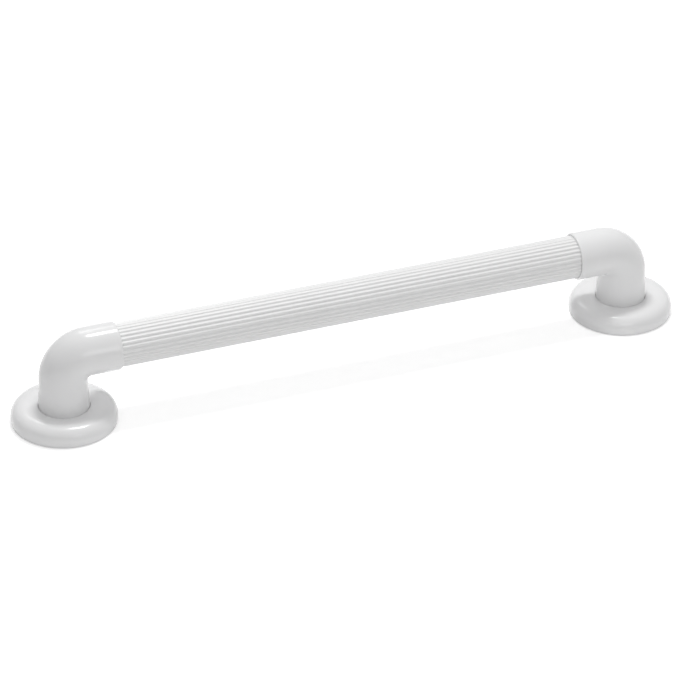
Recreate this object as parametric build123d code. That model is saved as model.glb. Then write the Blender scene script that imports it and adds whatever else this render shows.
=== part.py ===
from build123d import *
from math import atan2, cos, degrees, radians, sin, sqrt
import os

# Wall-mounted plastic grab rail: a fluted tube bonded into two moulded elbows, each with a
# fixing flange and a captive cover that hides its screws. Millimetres throughout.
# The origin is on the wall, midway between the two flanges. +X runs along the rail and
# +Z points away from the wall.

# Fluted rail
CENTRES = 450.0            # from one flange centre to the other
WALL_CLEARANCE = 39.3      # hand space between the wall and the rail's ridges
RAIL_DIAMETER = 33.0       # over the ridges
RAIL_WALL = 3.0            # under the flutes
FLUTE_COUNT = 32
FLUTE_DEPTH = 0.7

# Elbow moulding
SOCKET_CLEARANCE = 0.1     # radial, between the ridges and the socket
SOCKET_WALL = 1.6
SOCKET_DEPTH = 22.3        # the straight arm, from its mouth to the stop for the rail
LEAD_IN = 0.2              # chamfer inside the mouth
MOUTH_LAND = 0.2           # flat ring between the lead-in and the rounded outside edge
THROAT_RADIUS = 1.0        # inside of the bend
NECK_DRAFT = 1.2           # how much the neck's radius grows from the bend to the flange
ELBOW_WALL = 5.0           # round the hollow of the bend and the neck

# Fixing flange
FLANGE_LAND = 18.0         # from the neck's foot to the flange's edge
FLANGE_THICKNESS = 5.0
NECK_GUSSET = 2.0          # sloping ring that strengthens the foot of the neck
FLANGE_CHAMFER = 0.6       # leads the cover on
SCREW_COUNT = 3
SCREW_HOLE = 5.5
SCREW_HEAD = 10.5          # countersink at the flange's face

# Screw cover
COVER_CLEARANCE = 0.3      # radial, between the flange's edge and the skirt
COVER_WALL = 2.0
COVER_HEIGHT = 14.5        # of the crest above the wall
COVER_RIM_GAP = 0.4        # between the rim and the wall
WAIST_HEIGHT = 4.5         # where the skirt is widest
RIM_TUCK = 0.5             # how far the rim turns in below the waist
SEAT_WIDTH = 1.6           # ledge that sits on the flange
NECK_CLEARANCE = 0.15      # radial, where the seated cover is nearest to the neck
NOSE_DROP = 1.0            # from the crest, on a gentle curve, to the edge of the hole
COLLAR_LENGTH = 3.0        # straight wall of the hole
SHOULDER_DROP = 3.0        # inside, from under the crest to the straight wall of the skirt

# Sizes that follow
AXIS_HEIGHT = WALL_CLEARANCE + RAIL_DIAMETER / 2
SOCKET_RADIUS = RAIL_DIAMETER / 2 + SOCKET_CLEARANCE
ELBOW_RADIUS = SOCKET_RADIUS + SOCKET_WALL
LIP_ROUNDING = SOCKET_WALL - LEAD_IN - MOUTH_LAND  # outside edge of the mouth
CORE_RADIUS = ELBOW_RADIUS - ELBOW_WALL
BEND_RADIUS = ELBOW_RADIUS + THROAT_RADIUS  # of the centreline
NECK_FOOT_RADIUS = ELBOW_RADIUS + NECK_DRAFT
NECK_TOP = AXIS_HEIGHT - BEND_RADIUS
NECK_HEIGHT = NECK_TOP - FLANGE_THICKNESS
MOUTH = (BEND_RADIUS + SOCKET_DEPTH, 0, AXIS_HEIGHT)
RAIL_LENGTH = CENTRES - 2 * BEND_RADIUS
FLANGE_RADIUS = NECK_FOOT_RADIUS + FLANGE_LAND
SCREW_CIRCLE_RADIUS = NECK_FOOT_RADIUS + FLANGE_LAND / 2
SKIRT_RADIUS = FLANGE_RADIUS + COVER_CLEARANCE
COVER_RADIUS = SKIRT_RADIUS + COVER_WALL
HOLE_TOP = COVER_HEIGHT - NOSE_DROP
HOLE_FOOT = HOLE_TOP - COLLAR_LENGTH
HOLE_RADIUS = ELBOW_RADIUS + NECK_DRAFT * (NECK_TOP - HOLE_FOOT) / NECK_HEIGHT + NECK_CLEARANCE
SCREW_START_ANGLE = 180    # the first screw is at the outer end, clear of the rail
TOLERANCE = 0.001
ON_BASE = (Align.CENTER, Align.CENTER, Align.MIN)

# The right-hand pieces are the left-hand ones turned half round
SIDES = {
    "left": Location((-CENTRES / 2, 0, 0)),
    "right": Location((CENTRES / 2, 0, 0), (0, 0, 180)),
}


def polar(radius, angle):
    """Point at a radius and an angle in degrees."""
    return Vector(radius * cos(radians(angle)), radius * sin(radians(angle)))


def fluted_outline():
    """Face inside the flutes: equal round ridges and grooves that meet tangent."""
    crest = RAIL_DIAMETER / 2
    root = crest - FLUTE_DEPTH
    half_pitch = 180 / FLUTE_COUNT
    turn = cos(radians(half_pitch))
    span = crest**2 + root**2 - 2 * crest * root * turn
    lean = (1 + turn) * FLUTE_DEPTH
    wave_radius = (sqrt(lean**2 + 2 * (1 - turn) * span) - lean) / (2 * (1 - turn))

    ridge_centre = polar(crest - wave_radius, 0)
    groove_centre = polar(root + wave_radius, half_pitch)
    meeting = (ridge_centre + groove_centre) / 2
    reach = meeting.length
    swing = degrees(atan2(meeting.Y, meeting.X))

    arcs = []
    for index in range(FLUTE_COUNT):
        ridge = 2 * half_pitch * index
        groove = ridge + half_pitch
        start = polar(reach, ridge - swing)
        middle = polar(reach, ridge + swing)
        end = polar(reach, ridge + 2 * half_pitch - swing)
        arcs.append(ThreePointArc(start, polar(crest, ridge), middle))
        arcs.append(ThreePointArc(middle, polar(root, groove), end))
    return make_face(arcs)


def fluted_rail():
    """Extruded tube with a round bore, from one socket's stop to the other's."""
    bore = Circle(RAIL_DIAMETER / 2 - FLUTE_DEPTH - RAIL_WALL)
    section = Plane.YZ * (fluted_outline() - bore)
    return Pos(0, 0, AXIS_HEIGHT) * extrude(section, RAIL_LENGTH / 2, both=True)


def ring_edges(part, radius, centre):
    """Circular edges of one radius round one point."""
    return [
        edge
        for edge in part.edges().filter_by(GeomType.CIRCLE)
        if abs(edge.radius - radius) < TOLERANCE
        and (edge.arc_center - Vector(centre)).length < TOLERANCE
    ]


def bent_rod(radius, foot):
    """Round solid along the elbow's centreline, from a height on the neck to the mouth."""
    path = FilletPolyline((0, 0, foot), (0, 0, AXIS_HEIGHT), MOUTH, radius=BEND_RADIUS)
    return sweep(Pos(0, 0, foot) * Circle(radius), path=path)


def screw_hole():
    """Countersunk hole, ready to be cut from the flange's face."""
    cone_depth = (SCREW_HEAD - SCREW_HOLE) / 2
    shank = Cylinder(SCREW_HOLE / 2, FLANGE_THICKNESS, align=ON_BASE)
    cone = Cone(SCREW_HOLE / 2, SCREW_HEAD / 2, cone_depth, align=ON_BASE)
    return shank + Pos(0, 0, FLANGE_THICKNESS - cone_depth) * cone


def elbow():
    """Socket, bend, neck and fixing flange in one moulding, with its arm along +X."""
    face_centre = (0, 0, FLANGE_THICKNESS)
    flange = Cylinder(FLANGE_RADIUS, FLANGE_THICKNESS, align=ON_BASE)
    flange = chamfer(ring_edges(flange, FLANGE_RADIUS, face_centre), FLANGE_CHAMFER)
    neck = Cone(NECK_FOOT_RADIUS, ELBOW_RADIUS, NECK_HEIGHT, align=ON_BASE)
    gusset_foot = NECK_FOOT_RADIUS + NECK_GUSSET
    gusset = Cone(gusset_foot, ELBOW_RADIUS, gusset_foot - ELBOW_RADIUS, align=ON_BASE)
    moulding = flange + Pos(face_centre) * (neck + gusset)
    moulding += bent_rod(ELBOW_RADIUS, FLANGE_THICKNESS)
    for place in PolarLocations(SCREW_CIRCLE_RADIUS, SCREW_COUNT, SCREW_START_ANGLE):
        moulding -= place * screw_hole()

    moulding -= bent_rod(CORE_RADIUS, 0)
    stop = Pos(BEND_RADIUS, 0, AXIS_HEIGHT) * Rot(0, 90, 0)
    moulding -= stop * Cylinder(SOCKET_RADIUS, SOCKET_DEPTH, align=ON_BASE)
    moulding = fillet(ring_edges(moulding, ELBOW_RADIUS, MOUTH), LIP_ROUNDING)
    return chamfer(ring_edges(moulding, SOCKET_RADIUS, MOUTH), LEAD_IN)


def screw_cover():
    """Thin domed ring whose ledge sits on the flange and whose hole slides on the neck."""
    crest = (SCREW_CIRCLE_RADIUS, COVER_HEIGHT)
    waist = (COVER_RADIUS, WAIST_HEIGHT)
    rim_edge = (COVER_RADIUS - RIM_TUCK, COVER_RIM_GAP)
    under = COVER_HEIGHT - COVER_WALL
    ledge = SKIRT_RADIUS - SEAT_WIDTH
    collar = HOLE_RADIUS + COVER_WALL

    section = make_face(
        [
            Bezier(crest, (COVER_RADIUS, COVER_HEIGHT), waist),
            TangentArc(waist, rim_edge, tangent=(0, -1)),
            Polyline(
                rim_edge,
                (SKIRT_RADIUS, COVER_RIM_GAP),
                (SKIRT_RADIUS, FLANGE_THICKNESS),
                (ledge, FLANGE_THICKNESS),
                (ledge, under - SHOULDER_DROP),
                (SCREW_CIRCLE_RADIUS, under),
                (collar, HOLE_TOP - COVER_WALL),
                (collar, HOLE_FOOT),
                (HOLE_RADIUS, HOLE_FOOT),
                (HOLE_RADIUS, HOLE_TOP),
            ),
            TangentArc(crest, (HOLE_RADIUS, HOLE_TOP), tangent=(-1, 0)),
        ]
    )
    return revolve(Plane.XZ * section, Axis.Z)


os.makedirs("parts", exist_ok=True)
export_step(fluted_rail(), "parts/fluted_rail.step")
for side, place in SIDES.items():
    export_step(place * elbow(), f"parts/{side}_elbow.step")
    export_step(place * screw_cover(), f"parts/{side}_screw_cover.step")
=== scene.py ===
"""Plastic grab bar: a fluted rail between two moulded elbows, each with a sliding screw cover.

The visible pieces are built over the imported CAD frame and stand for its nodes. Sizes and places
are in millimetres, and turn to metres where a mesh, a lamp or the camera is made.
"""

import logging
import math
from dataclasses import dataclass, field
from enum import Enum
from typing import Any

import bmesh
import bpy
from mathutils import Matrix, Vector


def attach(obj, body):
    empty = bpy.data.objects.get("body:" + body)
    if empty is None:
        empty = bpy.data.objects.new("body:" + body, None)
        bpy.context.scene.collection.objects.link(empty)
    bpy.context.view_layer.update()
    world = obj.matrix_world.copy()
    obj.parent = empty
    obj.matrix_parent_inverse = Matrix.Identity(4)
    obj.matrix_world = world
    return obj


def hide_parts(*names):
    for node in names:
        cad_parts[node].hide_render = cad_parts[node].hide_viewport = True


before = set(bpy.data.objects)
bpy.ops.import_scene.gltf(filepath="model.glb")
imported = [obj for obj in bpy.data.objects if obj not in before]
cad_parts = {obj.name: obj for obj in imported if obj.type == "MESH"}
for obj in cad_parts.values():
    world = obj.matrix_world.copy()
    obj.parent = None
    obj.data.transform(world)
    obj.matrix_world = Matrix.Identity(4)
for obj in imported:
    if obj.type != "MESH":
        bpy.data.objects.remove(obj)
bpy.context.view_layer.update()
MM = 0.001
X_AXIS = Vector((1, 0, 0))
Y_AXIS = Vector((0, 1, 0))
Z_AXIS = Vector((0, 0, 1))
IMAGE_WIDTH = 680  # of the photograph, in pixels
SOCKET_KINDS = {
    float: "NodeSocketFloat",
    int: "NodeSocketInt",
    bpy.types.Material: "NodeSocketMaterial",
}
LOG = logging.getLogger("grab_bar")


def linear(hex_colour: str) -> tuple[float, float, float, float]:
    """Turn an sRGB hex colour into the linear colour that a shader takes.

    Args:
        hex_colour: Six hex digits after a hash sign.

    Returns:
        Linear red, green, blue and an alpha of 1.
    """
    channels = [int(hex_colour[i : i + 2], 16) / 255 for i in (1, 3, 5)]
    # The sRGB standard's own curve, straight near black and a power above
    red, green, blue = (
        c / 12.92 if c <= 0.04045 else ((c + 0.055) / 1.055) ** 2.4 for c in channels
    )
    return red, green, blue, 1.0


def add_node(
    tree: bpy.types.NodeTree,
    kind: str,
    inputs: dict[str | int, Any] | None = None,
    **settings: Any,
) -> bpy.types.Node:
    """Add one node with its settings and what goes into its sockets.

    Args:
        tree: The shader or geometry tree that gets the node.
        kind: The node's type name.
        inputs: Socket name or number to a value, or to the socket that is linked to it.
        **settings: The node's own properties.

    Returns:
        The new node.
    """
    node = tree.nodes.new(kind)
    for name, value in settings.items():
        setattr(node, name, value)
    for key, value in (inputs or {}).items():
        if isinstance(value, bpy.types.NodeSocket):
            tree.links.new(value, node.inputs[key])
        else:
            node.inputs[key].default_value = value
    return node


class Texture(Enum):
    """Marks that a plastic's tool leaves, as their pattern's scale along X, Y and Z.

    A small scale draws the marks out in that direction.
    """

    ORANGE_PEEL = (1.0, 1.0, 1.0)
    DIE_LINES = (0.0005, 1.0, 1.0)


@dataclass(frozen=True)
class PlasticFinish:
    """White plastic with faint tool marks, uneven gloss and a slight drift of tone."""

    name: str
    slot: str
    light_hex: str
    deep_hex: str
    roughness_low: float
    roughness_high: float
    texture: Texture
    mark_size: float
    mark_depth: float
    mark_detail: float = 2.0
    ior: float = 1.47
    drift_size: float = 45.0
    drift_detail: float = 3.0
    drift_roughness: float = 0.6
    drift_low: float = 0.3  # usual lowest value of the noise
    drift_high: float = 0.7  # usual highest value

    def material(self) -> bpy.types.Material:
        """Make the finish's node material, or give the one that is there.

        Returns:
            The material, named for the plastic and how it was shaped.
        """
        known = bpy.data.materials.get(self.name)
        if known:
            return known
        material = bpy.data.materials.new(self.name)
        material.use_nodes = True
        tree = material.node_tree
        tree.nodes.clear()

        place = add_node(tree, "ShaderNodeTexCoord").outputs["Object"]
        drift = add_node(
            tree,
            "ShaderNodeTexNoise",
            {
                "Vector": place,
                "Scale": 1 / (self.drift_size * MM),
                "Detail": self.drift_detail,
                "Roughness": self.drift_roughness,
            },
        ).outputs["Fac"]
        tone = add_node(
            tree,
            "ShaderNodeMix",
            {"Factor": drift, "A": linear(self.light_hex), "B": linear(self.deep_hex)},
            data_type="RGBA",
        )
        gloss = add_node(
            tree,
            "ShaderNodeMapRange",
            {
                "Value": drift,
                "From Min": self.drift_low,
                "From Max": self.drift_high,
                "To Min": self.roughness_low,
                "To Max": self.roughness_high,
            },
        )
        stretched = add_node(
            tree, "ShaderNodeMapping", {"Vector": place, "Scale": self.texture.value}
        ).outputs["Vector"]
        marks = add_node(
            tree,
            "ShaderNodeTexNoise",
            {
                "Vector": stretched,
                "Scale": 1 / (self.mark_size * MM),
                "Detail": self.mark_detail,
            },
        )
        relief = add_node(
            tree,
            "ShaderNodeBump",
            {"Height": marks.outputs["Fac"], "Strength": 1.0, "Distance": self.mark_depth * MM},
        )
        shader = add_node(
            tree,
            "ShaderNodeBsdfPrincipled",
            {
                "Base Color": tone.outputs["Result"],
                "Roughness": gloss.outputs["Result"],
                "IOR": self.ior,
                "Normal": relief.outputs["Normal"],
            },
        )
        add_node(tree, "ShaderNodeOutputMaterial", {"Surface": shader.outputs["BSDF"]})
        return material


# ABS from a polished mould: an even gloss with a trace of orange peel, so highlights are clear
# but a little soft at their edges. The peel is drawn coarser than it is, so that it can show.
MOULDED_ABS = PlasticFinish(
    name="injection_moulded_white_ABS",
    slot="moulded_white",
    light_hex="#F1F1F1",
    deep_hex="#EDEDEE",
    roughness_low=0.15,
    roughness_high=0.20,
    texture=Texture.ORANGE_PEEL,
    mark_size=2.4,
    mark_depth=0.004,
)

# Rigid PVC drawn through a die: fainter gloss than the mouldings, with fine lines along the
# rail. The lines are drawn about twice as wide as real ones so that the render shows them.
EXTRUDED_PVC = PlasticFinish(
    name="extruded_white_PVC",
    slot="extruded_white",
    light_hex="#F1F1F1",
    deep_hex="#ECECEC",
    roughness_low=0.30,
    roughness_high=0.40,
    texture=Texture.DIE_LINES,
    mark_size=0.5,
    mark_depth=0.002,
)


@dataclass(frozen=True)
class BarLayout:
    """Sizes that the pieces of the bar share."""

    centres: float = 450.0  # from one flange centre to the other
    wall_clearance: float = 39.3  # between the wall and the rail's ridges
    rail_diameter: float = 33.0  # over the ridges

    @property
    def axis_height(self) -> float:
        """Height of the rail's axis above the wall."""
        return self.wall_clearance + self.rail_diameter / 2


class End(Enum):
    """The two ends of the bar. The right one is the left one turned half round."""

    LEFT = -1
    RIGHT = 1

    @property
    def word(self) -> str:
        """Name of the end as the CAD nodes spell it."""
        return self.name.lower()

    def place(self, layout: BarLayout) -> Matrix:
        """Find where a piece that is made at the origin goes at this end.

        Args:
            layout: The bar's shared sizes.

        Returns:
            A turn about the upright axis and a move along the rail, in metres.
        """
        turn = 0.0 if self is End.LEFT else math.pi
        move = Matrix.Translation((self.value * layout.centres / 2 * MM, 0, 0))
        return move @ Matrix.Rotation(turn, 4, "Z")


def smooth_piece(name: str, mesh: bpy.types.Mesh, crease: float = 30.0) -> bpy.types.Object:
    """Put a mesh in the scene, smooth except at its real edges.

    Args:
        name: Name of the piece.
        mesh: Its mesh, in place.
        crease: Angle in degrees from which an edge stays sharp.

    Returns:
        The new object.
    """
    mesh.polygons.foreach_set("use_smooth", [True] * len(mesh.polygons))
    mesh.set_sharp_from_angle(angle=math.radians(crease))
    mesh.update()
    piece = bpy.data.objects.new(name, mesh)
    bpy.context.scene.collection.objects.link(piece)
    return piece


def seat(piece: bpy.types.Object, node: str, body: str, finish: PlasticFinish) -> None:
    """Let a piece stand for its CAD node, move with its body and log its finish.

    Args:
        piece: The visible piece.
        node: The CAD node that it replaces.
        body: The body that carries it.
        finish: The finish whose name is logged.
    """
    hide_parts(node)
    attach(piece, body)
    LOG.info("%s: %d faces, %s", piece.name, len(piece.data.polygons), finish.name)


@dataclass
class RingSkin:
    """Closed mesh made of rings that are joined one to the next."""

    segments: int
    bm: bmesh.types.BMesh = field(default_factory=bmesh.new)

    def ring(
        self, centre: Vector, across: Vector, along: Vector, radius: float, count: int = 0
    ) -> list[bmesh.types.BMVert]:
        """Add a circle of points.

        Args:
            centre: Its centre.
            across: Direction of its first point.
            along: Direction of the point a quarter turn on.
            radius: Its radius.
            count: Number of points, or 0 for the skin's own.

        Returns:
            The points in order.
        """
        count = count or self.segments
        angles = [2 * math.pi * i / count for i in range(count)]
        return [
            self.bm.verts.new(centre + radius * (math.cos(a) * across + math.sin(a) * along))
            for a in angles
        ]

    def join(self, first: list[bmesh.types.BMVert], second: list[bmesh.types.BMVert]) -> None:
        """Join two rings of as many points with a band of faces."""
        for i, corner in enumerate(first):
            self.bm.faces.new((first[i - 1], corner, second[i], second[i - 1]))

    def fill(self, rings: list[list[bmesh.types.BMVert]]) -> None:
        """Fill the flat area between an outer ring and the rings inside it."""
        edges = [self.bm.edges.get((r[i - 1], r[i])) for r in rings for i in range(len(r))]
        bmesh.ops.triangle_fill(self.bm, use_beauty=True, edges=edges, normal=Z_AXIS)

    def mesh(self, name: str, place: Matrix) -> bpy.types.Mesh:
        """Turn the skin into a mesh in metres.

        Args:
            name: Name of the mesh.
            place: Where it goes, in metres.

        Returns:
            The mesh, with its faces outwards.
        """
        bmesh.ops.recalc_face_normals(self.bm, faces=self.bm.faces[:])
        self.bm.transform(place @ Matrix.Scale(MM, 4))
        mesh = bpy.data.meshes.new(name)
        self.bm.to_mesh(mesh)
        self.bm.free()
        return mesh


def steps(start: float, end: float, longest: float) -> list[float]:
    """Divide a stretch evenly.

    Args:
        start: Where it starts.
        end: Where it ends.
        longest: The longest step.

    Returns:
        The places after the start, the end included.
    """
    count = max(1, math.ceil(abs(end - start) / longest))
    return [start + (end - start) * (i + 1) / count for i in range(count)]


def arc_radius(run: float, drop: float) -> float:
    """Radius of an arc that leaves a line tangent and lies a drop off it after a run."""
    return (run**2 + drop**2) / (2 * drop)


@dataclass
class FlutedRail:
    """Extruded tube whose ridges and grooves are equal arcs that meet tangent."""

    finish: PlasticFinish
    layout: BarLayout
    length: float
    wall: float = 3.0  # under the flutes
    flute_count: int = 32
    flute_depth: float = 0.7
    points_per_flute: int = 20
    bore_points: int = 96
    weld: float = 0.001  # points nearer than this become one

    @property
    def crest_radius(self) -> float:
        """Radius over the ridges."""
        return self.layout.rail_diameter / 2

    @property
    def root_radius(self) -> float:
        """Radius at the bottom of a flute."""
        return self.crest_radius - self.flute_depth

    def wave_radius(self) -> float:
        """Work out the radius of the arcs from the flutes' depth and number.

        Returns:
            The radius at which a ridge and a groove meet tangent.
        """
        crest, root = self.crest_radius, self.root_radius
        turn = math.cos(math.pi / self.flute_count)
        span = crest**2 + root**2 - 2 * crest * root * turn
        lean = (1 + turn) * self.flute_depth
        return (math.sqrt(lean**2 + 2 * (1 - turn) * span) - lean) / (2 * (1 - turn))

    def inputs(self) -> dict[str, Any]:
        """List what the node tree is given.

        Returns:
            The tree's inputs by name: sizes in metres, counts and the material.
        """
        return {
            "Length": self.length * MM,
            "Axis Height": self.layout.axis_height * MM,
            "Crest Radius": self.crest_radius * MM,
            "Root Radius": self.root_radius * MM,
            "Wave Radius": self.wave_radius() * MM,
            "Bore Radius": (self.root_radius - self.wall) * MM,
            "Weld": self.weld * MM,
            "Flute Count": self.flute_count,
            "Points per Flute": self.points_per_flute,
            "Bore Points": self.bore_points,
            "Material": self.finish.material(),
        }

    def sums(self) -> list[tuple[str | float, ...]]:
        """List the sums that place the points of the outline and the ends of the rail.

        Returns:
            For each Math node its name, its operation, and the names or numbers that go in.
        """
        rows: list[tuple[str | float, ...]] = [
            # Angle of a point round the axis, and from the nearest ridge and groove
            ("points", "MULTIPLY", "Flute Count", "Points per Flute"),
            ("turned", "MULTIPLY", "Index", 2 * math.pi),
            ("angle", "DIVIDE", "turned", "points"),
            ("angle sine", "SINE", "angle"),
            ("angle cosine", "COSINE", "angle"),
            ("half pitch", "DIVIDE", math.pi, "Flute Count"),
            ("from ridge", "PINGPONG", "angle", "half pitch"),
            ("from groove", "SUBTRACT", "half pitch", "from ridge"),
            # Distance of the arcs' centres from the axis
            ("ridge centre", "SUBTRACT", "Crest Radius", "Wave Radius"),
            ("groove centre", "ADD", "Root Radius", "Wave Radius"),
            ("wave squared", "POWER", "Wave Radius", 2.0),
        ]
        # Distance from the axis to the far side of the ridge's arc and the near side of the groove's
        for arc, side in (("ridge", "ADD"), ("groove", "SUBTRACT")):
            rows += [
                (f"{arc} sine", "SINE", f"from {arc}"),
                (f"{arc} cosine", "COSINE", f"from {arc}"),
                (f"{arc} offset", "MULTIPLY", f"{arc} centre", f"{arc} sine"),
                (f"{arc} offset squared", "POWER", f"{arc} offset", 2.0),
                (f"{arc} half squared", "SUBTRACT", "wave squared", f"{arc} offset squared"),
                (f"{arc} half chord", "SQRT", f"{arc} half squared"),
                (f"{arc} foot", "MULTIPLY", f"{arc} centre", f"{arc} cosine"),
                (f"on {arc}", side, f"{arc} foot", f"{arc} half chord"),
            ]
        rows += [
            # The arcs meet halfway between their centres, so at the angle of the centres' sum
            ("pitch sine", "SINE", "half pitch"),
            ("pitch cosine", "COSINE", "half pitch"),
            ("groove x", "MULTIPLY", "groove centre", "pitch cosine"),
            ("sum x", "ADD", "ridge centre", "groove x"),
            ("sum y", "MULTIPLY", "groove centre", "pitch sine"),
            ("swing", "ARCTAN2", "sum y", "sum x"),
            ("is ridge", "LESS_THAN", "from ridge", "swing"),
            # Ends of the rail
            ("right end", "MULTIPLY", "Length", 0.5),
            ("left end", "MULTIPLY", "right end", -1.0),
        ]
        return rows

    def sections(
        self, tree: bpy.types.NodeTree, known: dict[str, bpy.types.NodeSocket]
    ) -> tuple[bpy.types.NodeSocket, bpy.types.NodeSocket]:
        """Draw the fluted outline and the bore, flat round the origin.

        Args:
            tree: The tree that gets the nodes.
            known: The tree's inputs and sums by name.

        Returns:
            The outline and the bore as closed curves.
        """
        reach = add_node(
            tree,
            "GeometryNodeSwitch",
            {"Switch": known["is ridge"], "False": known["on groove"], "True": known["on ridge"]},
            input_type="FLOAT",
        )
        ray = add_node(
            tree, "ShaderNodeCombineXYZ", {"X": known["angle cosine"], "Y": known["angle sine"]}
        )
        point = add_node(
            tree,
            "ShaderNodeVectorMath",
            {"Vector": ray.outputs["Vector"], "Scale": reach.outputs[0]},
            operation="SCALE",
        )
        circle = add_node(tree, "GeometryNodeCurvePrimitiveCircle", {"Resolution": known["points"]})
        outline = add_node(
            tree,
            "GeometryNodeSetPosition",
            {"Geometry": circle.outputs["Curve"], "Position": point.outputs["Vector"]},
        )
        bore = add_node(
            tree,
            "GeometryNodeCurvePrimitiveCircle",
            {"Resolution": known["Bore Points"], "Radius": known["Bore Radius"]},
        )
        return outline.outputs["Geometry"], bore.outputs["Curve"]

    def surfaces(
        self, tree: bpy.types.NodeTree, known: dict[str, bpy.types.NodeSocket]
    ) -> list[bpy.types.NodeSocket]:
        """Run the sections along the rail's axis and close its two ends.

        Args:
            tree: The tree that gets the nodes.
            known: The tree's inputs and sums by name.

        Returns:
            The outer wall, the bore's wall and the two cut ends as meshes.
        """
        outline, bore = self.sections(tree, known)
        ends = [
            add_node(
                tree, "ShaderNodeCombineXYZ", {"X": known[end], "Z": known["Axis Height"]}
            ).outputs["Vector"]
            for end in ("left end", "right end")
        ]
        axis = add_node(tree, "GeometryNodeCurvePrimitiveLine", {"Start": ends[0], "End": ends[1]})
        outer, inner = (
            add_node(
                tree,
                "GeometryNodeCurveToMesh",
                {"Curve": axis.outputs["Curve"], "Profile Curve": section},
            ).outputs["Mesh"]
            for section in (outline, bore)
        )
        lining = add_node(tree, "GeometryNodeFlipFaces", {"Mesh": inner}).outputs["Mesh"]

        # One cut end, turned to face outwards at each end of the rail
        rims = add_node(tree, "GeometryNodeJoinGeometry")
        for section in (outline, bore):
            tree.links.new(section, rims.inputs[0])
        cut = add_node(tree, "GeometryNodeFillCurve", {"Curve": rims.outputs[0]}).outputs["Mesh"]
        cuts = [
            add_node(
                tree,
                "GeometryNodeTransform",
                {"Geometry": cut, "Translation": end, "Rotation": (0.0, turn, 0.0)},
            ).outputs["Geometry"]
            for end, turn in zip(ends, (-math.pi / 2, math.pi / 2))
        ]
        return [outer, lining, *cuts]

    def tree(self) -> bpy.types.NodeTree:
        """Build the node tree that draws the fluted outline and runs it along the rail.

        Returns:
            A geometry tree with the rail's sizes, in metres, as named inputs.
        """
        tree = bpy.data.node_groups.new("fluted_tube", "GeometryNodeTree")
        for name, value in self.inputs().items():
            kind = SOCKET_KINDS[type(value)]
            tree.interface.new_socket(name, in_out="INPUT", socket_type=kind)
        tree.interface.new_socket("Geometry", in_out="OUTPUT", socket_type="NodeSocketGeometry")

        known = {socket.name: socket for socket in add_node(tree, "NodeGroupInput").outputs}
        known["Index"] = add_node(tree, "GeometryNodeInputIndex").outputs[0]
        for name, operation, *terms in self.sums():
            values = {number: known.get(term, term) for number, term in enumerate(terms)}
            node = add_node(tree, "ShaderNodeMath", values, operation=operation, label=name)
            known[name] = node.outputs[0]

        whole = add_node(tree, "GeometryNodeJoinGeometry")
        for surface in self.surfaces(tree, known):
            tree.links.new(surface, whole.inputs[0])
        closed = add_node(
            tree,
            "GeometryNodeMergeByDistance",
            {"Geometry": whole.outputs[0], "Distance": known["Weld"]},
        )
        real = add_node(
            tree, "GeometryNodeRealizeInstances", {"Geometry": closed.outputs["Geometry"]}
        )
        dressed = add_node(
            tree,
            "GeometryNodeSetMaterial",
            {"Geometry": real.outputs["Geometry"], "Material": known["Material"]},
        )
        add_node(tree, "NodeGroupOutput", {"Geometry": dressed.outputs["Geometry"]})
        return tree

    def build(self) -> bpy.types.Object:
        """Run the node tree with the rail's sizes and keep the result as a plain mesh.

        Returns:
            The rail, dressed by the tree.
        """
        values = self.inputs()
        tree = self.tree()
        maker = bpy.data.objects.new("fluted_tube_maker", bpy.data.meshes.new("fluted_tube_maker"))
        bpy.context.scene.collection.objects.link(maker)
        modifier = maker.modifiers.new("fluted_tube", "NODES")
        modifier.node_group = tree
        for item in tree.interface.items_tree:
            if item.in_out == "INPUT":
                modifier[item.identifier] = values[item.name]
        result = maker.evaluated_get(bpy.context.evaluated_depsgraph_get())
        mesh = bpy.data.meshes.new_from_object(result)
        mesh.name = "rail_tube"
        maker.modifiers.remove(modifier)
        bpy.data.objects.remove(maker)
        return smooth_piece("rail_tube", mesh)

    def dress(self) -> None:
        """Build the rail and seat it on the bar."""
        seat(self.build(), "fluted_rail", "bar", self.finish)


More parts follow.
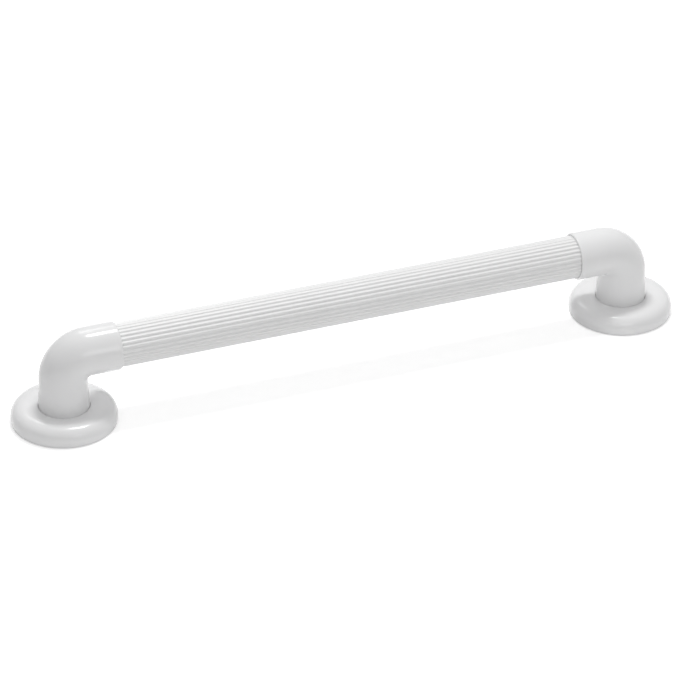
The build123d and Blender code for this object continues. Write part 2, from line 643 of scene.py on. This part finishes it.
@dataclass
class Elbow:
    """Moulding with a socket, a tight bend, a neck and a fixing flange, its arm along +X."""

    finish: PlasticFinish
    layout: BarLayout
    socket_clearance: float = 0.1  # radial, round the rail's ridges
    socket_wall: float = 1.6
    socket_depth: float = 22.3
    lead_in: float = 0.2  # chamfer inside the mouth
    mouth_land: float = 0.2  # flat ring between the lead-in and the rounded outside edge
    throat_radius: float = 1.0  # inside of the bend
    neck_draft: float = 1.2  # growth of the neck's radius from the bend to the flange
    wall: float = 5.0  # round the hollow of the bend and the neck
    gusset: float = 2.0
    flange_land: float = 18.0  # from the neck's foot to the flange's edge
    flange_thickness: float = 5.0
    flange_chamfer: float = 0.6
    screw_count: int = 3
    screw_hole: float = 5.5
    screw_head: float = 10.5
    screw_start: float = 180.0  # degrees, at the outer end and clear of the rail
    segments: int = 144
    hole_segments: int = 48
    bend_step: float = 1.0  # longest steps between rings, outside on the bend
    wall_step: float = 2.0  # on the neck, the arm and the hollow's bend
    socket_step: float = 4.0
    hollow_step: float = 6.0
    lip_step: float = math.pi / 14  # radians, round the edge of the mouth

    @property
    def socket_radius(self) -> float:
        """Radius of the socket."""
        return self.layout.rail_diameter / 2 + self.socket_clearance

    @property
    def radius(self) -> float:
        """Outside radius of the arm and the bend."""
        return self.socket_radius + self.socket_wall

    @property
    def core_radius(self) -> float:
        """Radius of the hollow."""
        return self.radius - self.wall

    @property
    def lip_rounding(self) -> float:
        """Radius of the mouth's outside edge."""
        return self.socket_wall - self.lead_in - self.mouth_land

    @property
    def bend_radius(self) -> float:
        """Radius of the bend's centreline."""
        return self.radius + self.throat_radius

    @property
    def neck_top(self) -> float:
        """Height at which the bend starts."""
        return self.layout.axis_height - self.bend_radius

    @property
    def bend_end(self) -> float:
        """Length of the centreline up to the socket's stop."""
        return self.neck_top + self.bend_radius * math.pi / 2

    @property
    def mouth(self) -> float:
        """Length of the centreline up to the mouth."""
        return self.bend_end + self.socket_depth

    @property
    def neck_slope(self) -> float:
        """Growth of the neck's radius for each millimetre towards the wall."""
        return self.neck_draft / (self.neck_top - self.flange_thickness)

    @property
    def neck_foot_radius(self) -> float:
        """Radius of the neck at the flange."""
        return self.radius + self.neck_draft

    @property
    def flange_radius(self) -> float:
        """Radius of the flange's edge."""
        return self.neck_foot_radius + self.flange_land

    @property
    def screw_circle_radius(self) -> float:
        """Radius of the circle on which the screws stand."""
        return self.neck_foot_radius + self.flange_land / 2

    def neck_radius(self, height: float) -> float:
        """Radius of the neck at a height above the wall."""
        return self.radius + self.neck_slope * (self.neck_top - height)

    def station(self, run: float) -> tuple[Vector, Vector]:
        """Find a place on the elbow's centreline.

        Args:
            run: Length of the centreline from the wall.

        Returns:
            The place, and the direction there away from the bend's centre.
        """
        bend_centre = Vector((self.bend_radius, 0, self.neck_top))
        angle = min(max((run - self.neck_top) / self.bend_radius, 0.0), math.pi / 2)
        outwards = Vector((-math.cos(angle), 0, math.sin(angle)))
        place = bend_centre + self.bend_radius * outwards
        if run < self.neck_top:
            place.z = run
        if run > self.bend_end:
            place.x += run - self.bend_end
        return place, outwards

    def outside(self) -> list[tuple[float, float]]:
        """List the rings from the gusset up the neck and round the edge of the mouth.

        Returns:
            Run along the centreline and radius of each ring.
        """
        lip = self.mouth - self.lip_rounding
        gusset_top = self.flange_thickness + self.gusset / (1 - self.neck_slope)
        neck = [gusset_top, *steps(gusset_top, self.neck_top, self.wall_step)]
        rings = [(self.flange_thickness, self.neck_foot_radius + self.gusset)]
        rings += [(run, self.neck_radius(run)) for run in neck]
        rings += [(run, self.radius) for run in steps(self.neck_top, self.bend_end, self.bend_step)]
        rings += [(run, self.radius) for run in steps(self.bend_end, lip, self.wall_step)]
        for angle in steps(0.0, math.pi / 2, self.lip_step):
            drop = self.lip_rounding * (1 - math.cos(angle))
            rings.append((lip + self.lip_rounding * math.sin(angle), self.radius - drop))
        return rings

    def inside(self) -> list[tuple[float, float]]:
        """List the rings from the lead-in down the socket and the hollow.

        Returns:
            Run along the centreline and radius of each ring.
        """
        lead = self.mouth - self.lead_in
        bend = steps(self.bend_end, self.neck_top, self.wall_step)
        neck = steps(self.neck_top, 0.0, self.hollow_step)
        rings = [(self.mouth, self.socket_radius + self.lead_in), (lead, self.socket_radius)]
        rings += [(run, self.socket_radius) for run in steps(lead, self.bend_end, self.socket_step)]
        rings += [(run, self.core_radius) for run in (self.bend_end, *bend, *neck)]
        return rings

    def build(self, end: End) -> bpy.types.Object:
        """Make one elbow as a closed skin with its countersunk holes.

        Args:
            end: The end of the bar that it belongs to.

        Returns:
            The elbow, in place and dressed.
        """
        skin = RingSkin(self.segments)

        def band(runs: list[tuple[float, float]]) -> list[list[bmesh.types.BMVert]]:
            """Add rings along the centreline, each joined to the one before.

            Args:
                runs: Run along the centreline and radius of each ring.

            Returns:
                The rings in order.
            """
            rings = []
            for run, radius in runs:
                place, across = self.station(run)
                rings.append(skin.ring(place, across, Y_AXIS, radius))
            for first, second in zip(rings, rings[1:]):
                skin.join(first, second)
            return rings

        edge = band(
            [
                (0.0, self.flange_radius),
                (self.flange_thickness - self.flange_chamfer, self.flange_radius),
                (self.flange_thickness, self.flange_radius - self.flange_chamfer),
            ]
        )
        shell = band(self.outside() + self.inside())
        face_rings = [edge[-1], shell[0]]
        back_rings = [edge[0], shell[-1]]
        cone_foot = self.flange_thickness - (self.screw_head - self.screw_hole) / 2
        levels = (
            (self.flange_thickness, self.screw_head / 2),
            (cone_foot, self.screw_hole / 2),
            (0.0, self.screw_hole / 2),
        )
        for number in range(self.screw_count):
            angle = math.radians(self.screw_start) + 2 * math.pi * number / self.screw_count
            spot = self.screw_circle_radius * Vector((math.cos(angle), math.sin(angle), 0))
            top, cone, foot = (
                skin.ring(spot + height * Z_AXIS, X_AXIS, Y_AXIS, radius, self.hole_segments)
                for height, radius in levels
            )
            skin.join(top, cone)
            skin.join(cone, foot)
            face_rings.append(top)
            back_rings.append(foot)
        skin.fill(face_rings)
        skin.fill(back_rings)

        name = f"{end.word}_elbow_moulding"
        piece = smooth_piece(name, skin.mesh(name, end.place(self.layout)))
        piece.data.materials.append(self.finish.material())
        return piece

    def dress(self, end: End) -> None:
        """Build the elbow for one end and seat it on the bar."""
        seat(self.build(end), f"{end.word}_elbow", "bar", self.finish)


@dataclass
class ScrewCover:
    """Domed ring that sits on the flange over the screws and slides up the neck."""

    finish: PlasticFinish
    elbow: Elbow
    clearance: float = 0.3  # radial, round the flange's edge
    wall: float = 2.0
    height: float = 14.5  # of the crest above the wall
    rim_gap: float = 0.4  # between the rim and the wall
    rim_tuck: float = 0.5  # how far the rim turns in below the waist
    waist_height: float = 4.5  # where the skirt is widest
    seat_width: float = 1.6  # ledge that sits on the flange
    neck_clearance: float = 0.15  # radial, where the seated cover is nearest to the neck
    nose_drop: float = 1.0  # from the crest to the edge of the hole
    collar_length: float = 3.0  # straight wall of the hole
    shoulder_drop: float = 3.0  # inside, from under the crest to the skirt
    segments: int = 192
    dome_steps: int = 36
    arc_step: float = 0.04  # radians, on the nose and the rim

    @property
    def skirt_radius(self) -> float:
        """Inside radius of the skirt."""
        return self.elbow.flange_radius + self.clearance

    @property
    def radius(self) -> float:
        """Outside radius at the waist."""
        return self.skirt_radius + self.wall

    @property
    def hole_top(self) -> float:
        """Height of the hole's upper edge."""
        return self.height - self.nose_drop

    @property
    def hole_foot(self) -> float:
        """Height of the hole's lower edge."""
        return self.hole_top - self.collar_length

    @property
    def hole_radius(self) -> float:
        """Radius of the hole, which clears the neck at the hole's lower edge."""
        return self.elbow.neck_radius(self.hole_foot) + self.neck_clearance

    def dome(self, crest: Vector, waist: Vector) -> list[Vector]:
        """Draw the round of the cover, level at its crest and upright at its waist.

        Args:
            crest: Radius and height of the highest point.
            waist: Radius and height of the widest point.

        Returns:
            The points after the crest, the waist included.
        """
        corner = Vector((waist.x, crest.y))
        shares = [(i + 1) / self.dome_steps for i in range(self.dome_steps)]
        return [(1 - t) ** 2 * crest + 2 * t * (1 - t) * corner + t**2 * waist for t in shares]

    def profile(self) -> list[Vector]:
        """Draw the closed outline of the ring's wall, from the crest outwards and round.

        Returns:
            Radius and height of each point.
        """
        crest_radius = self.elbow.screw_circle_radius
        crest = Vector((crest_radius, self.height))
        points = [crest, *self.dome(crest, Vector((self.radius, self.waist_height)))]

        fall = self.waist_height - self.rim_gap
        tuck_radius = arc_radius(fall, self.rim_tuck)
        for angle in steps(0.0, math.asin(fall / tuck_radius), self.arc_step):
            radius = self.radius - tuck_radius * (1 - math.cos(angle))
            points.append(Vector((radius, self.waist_height - tuck_radius * math.sin(angle))))

        seat_height = self.elbow.flange_thickness
        under = self.height - self.wall
        ledge = self.skirt_radius - self.seat_width
        collar = self.hole_radius + self.wall
        inside = (
            (self.skirt_radius, self.rim_gap),
            (self.skirt_radius, seat_height),
            (ledge, seat_height),
            (ledge, under - self.shoulder_drop),
            (crest_radius, under),
            (collar, self.hole_top - self.wall),
            (collar, self.hole_foot),
            (self.hole_radius, self.hole_foot),
        )
        points += [Vector(point) for point in inside]

        run = crest_radius - self.hole_radius
        nose_radius = arc_radius(run, self.nose_drop)
        slope = math.asin(run / nose_radius)
        for angle in [slope, *steps(slope, 0.0, self.arc_step)[:-1]]:
            points.append(crest + nose_radius * Vector((-math.sin(angle), math.cos(angle) - 1)))
        return points

    def build(self, end: End) -> bpy.types.Object:
        """Make one cover by turning its outline about the neck's axis.

        Args:
            end: The end of the bar that it belongs to.

        Returns:
            The cover, in place and dressed.
        """
        skin = RingSkin(self.segments)
        rings = [
            skin.ring(height * Z_AXIS, X_AXIS, Y_AXIS, radius) for radius, height in self.profile()
        ]
        for index, ring in enumerate(rings):
            skin.join(rings[index - 1], ring)
        name = f"{end.word}_cover_ring"
        piece = smooth_piece(name, skin.mesh(name, end.place(self.elbow.layout)))
        piece.data.materials.append(self.finish.material())
        return piece

    def dress(self, end: End) -> None:
        """Build the cover for one end and seat it on its own body."""
        seat(self.build(end), f"{end.word}_screw_cover", f"{end.word}_cover", self.finish)


@dataclass(frozen=True)
class Softbox:
    """Rectangular lamp that faces the bar."""

    name: str
    spot: tuple[float, float, float]
    width: float  # along X
    depth: float
    watts: float

    def hang(self, target: Vector) -> None:
        """Hang the lamp.

        Args:
            target: The point that it faces, in metres.
        """
        lamp = bpy.data.lights.new(self.name, "AREA")
        lamp.shape = "RECTANGLE"
        lamp.size = self.width * MM
        lamp.size_y = self.depth * MM
        lamp.energy = self.watts
        holder = bpy.data.objects.new(self.name, lamp)
        holder.location = Vector(self.spot) * MM
        holder.rotation_euler = (target - holder.location).to_track_quat("-Z", "Y").to_euler()
        bpy.context.scene.collection.objects.link(holder)


# The main light, which draws the clear highlights and the shadows under the arms
OVERHEAD_SOFTBOX = Softbox("overhead_softbox", (140.0, 320.0, 1300.0), 300.0, 140.0, 6.4)

# A large weak light from the front, whose soft highlight runs along the arms
FRONT_FILL = Softbox("front_fill", (0.0, -1270.0, 510.0), 500.0, 500.0, 1.95)

# A light from behind, which lifts the upper edge of the rail
BACK_RIM = Softbox("back_rim", (0.0, 950.0, 1000.0), 350.0, 350.0, 1.2)


@dataclass
class Studio:
    """White table, soft overhead light and the photograph's viewpoint."""

    lamps: tuple[Softbox, ...]
    lamp_target: float = 50.0  # height of the point that the lamps face
    floor_size: float = 8000.0
    floor_hex: str = "#FAFAFA"
    floor_lift: float = 0.38  # glow of the floor where it is seen
    horizon: float = 0.0  # strength of the room's light at the horizon
    zenith: float = 1.03  # and straight above
    azimuth: float = -21.6070  # of the camera, in degrees
    elevation: float = 31.4417
    roll: float = 0.5297
    pixels_per_mm: float = 1.33017  # at the target
    distance: float = 3108.7
    offset_x: float = 6.4632  # of the target from the picture's middle
    offset_y: float = 4.8989
    target_height: float = 27.9

    def seen(self, tree: bpy.types.NodeTree) -> bpy.types.NodeSocket:
        """Tell rays that show the background from those that light the bar.

        Args:
            tree: The shader tree that gets the nodes.

        Returns:
            A socket that is 1 for camera, glossy and transmission rays and 0 for the rest.
        """
        path = add_node(tree, "ShaderNodeLightPath").outputs
        rays = path["Is Camera Ray"]
        for kind in ("Is Glossy Ray", "Is Transmission Ray"):
            both = {0: rays, 1: path[kind]}
            rays = add_node(tree, "ShaderNodeMath", both, operation="MAXIMUM").outputs[0]
        return rays

    def floor(self) -> None:
        """Lay the pale table, which keeps the bar's soft shadow."""
        material = bpy.data.materials.new("white_table")
        material.use_nodes = True
        tree = material.node_tree
        tree.nodes.clear()
        paint = add_node(tree, "ShaderNodeBsdfDiffuse", {"Color": linear(self.floor_hex)})
        lift = add_node(
            tree, "ShaderNodeMath", {0: self.seen(tree), 1: self.floor_lift}, operation="MULTIPLY"
        )
        glow = add_node(tree, "ShaderNodeEmission", {"Strength": lift.outputs[0]})
        both = add_node(
            tree, "ShaderNodeAddShader", {0: paint.outputs["BSDF"], 1: glow.outputs["Emission"]}
        )
        add_node(tree, "ShaderNodeOutputMaterial", {"Surface": both.outputs["Shader"]})

        half = self.floor_size / 2 * MM
        mesh = bpy.data.meshes.new("table_top")
        corners = [(-half, -half, 0), (half, -half, 0), (half, half, 0), (-half, half, 0)]
        mesh.from_pydata(corners, [], [(0, 1, 2, 3)])
        mesh.materials.append(material)
        table = bpy.data.objects.new("table_top", mesh)
        bpy.context.scene.collection.objects.link(table)

    def world(self) -> None:
        """Give the room a bright ceiling and the camera its white background."""
        world = bpy.data.worlds.new("white_room")
        bpy.context.scene.world = world
        world.use_nodes = True
        tree = world.node_tree
        tree.nodes.clear()
        ray = add_node(tree, "ShaderNodeTexCoord").outputs["Generated"]
        height = add_node(tree, "ShaderNodeSeparateXYZ", {"Vector": ray}).outputs["Z"]
        ceiling = add_node(
            tree,
            "ShaderNodeMapRange",
            {"Value": height, "To Min": self.horizon, "To Max": self.zenith},
        )
        strength = add_node(
            tree,
            "ShaderNodeMix",
            {"Factor": self.seen(tree), "A": ceiling.outputs["Result"], "B": 1.0},
        )
        light = add_node(tree, "ShaderNodeBackground", {"Strength": strength.outputs["Result"]})
        add_node(tree, "ShaderNodeOutputWorld", {"Surface": light.outputs["Background"]})

    def camera(self) -> None:
        """Set the camera where the photograph was taken from."""
        turn, tilt, lean = (math.radians(a) for a in (self.azimuth, self.elevation, self.roll))
        ahead = Vector((-math.sin(turn), math.cos(turn), 0))
        back = math.sin(tilt) * Z_AXIS - math.cos(tilt) * ahead
        level = Vector((math.cos(turn), math.sin(turn), 0))
        upright = back.cross(level)
        right = math.cos(lean) * level + math.sin(lean) * upright
        up = math.cos(lean) * upright - math.sin(lean) * level
        spot = (
            self.target_height * Z_AXIS
            - self.offset_x * right
            - self.offset_y * up
            + self.distance * back
        )
        lens = bpy.data.cameras.new("photo_camera")
        lens.lens = self.pixels_per_mm * self.distance * lens.sensor_width / IMAGE_WIDTH
        holder = bpy.data.objects.new("photo_camera", lens)
        facing = Matrix((right, up, back)).transposed().to_4x4()
        holder.matrix_world = Matrix.Translation(spot * MM) @ facing
        bpy.context.scene.collection.objects.link(holder)
        bpy.context.scene.camera = holder

    def set_up(self) -> None:
        """Make the whole studio."""
        bpy.context.scene.view_settings.view_transform = "Standard"
        self.floor()
        self.world()
        for lamp in self.lamps:
            lamp.hang(self.lamp_target * MM * Z_AXIS)
        self.camera()


def main() -> None:
    """Build and dress the bar and set up the studio."""
    logging.basicConfig(level=logging.INFO, format="%(name)s %(message)s")
    layout = BarLayout()
    elbow = Elbow(MOULDED_ABS, layout)
    cover = ScrewCover(MOULDED_ABS, elbow)
    rail = FlutedRail(EXTRUDED_PVC, layout, length=layout.centres - 2 * elbow.bend_radius)
    rail.dress()
    for end in End:
        elbow.dress(end)
        cover.dress(end)
    Studio((OVERHEAD_SOFTBOX, FRONT_FILL, BACK_RIM)).set_up()


if __name__ == "__main__":
    main()
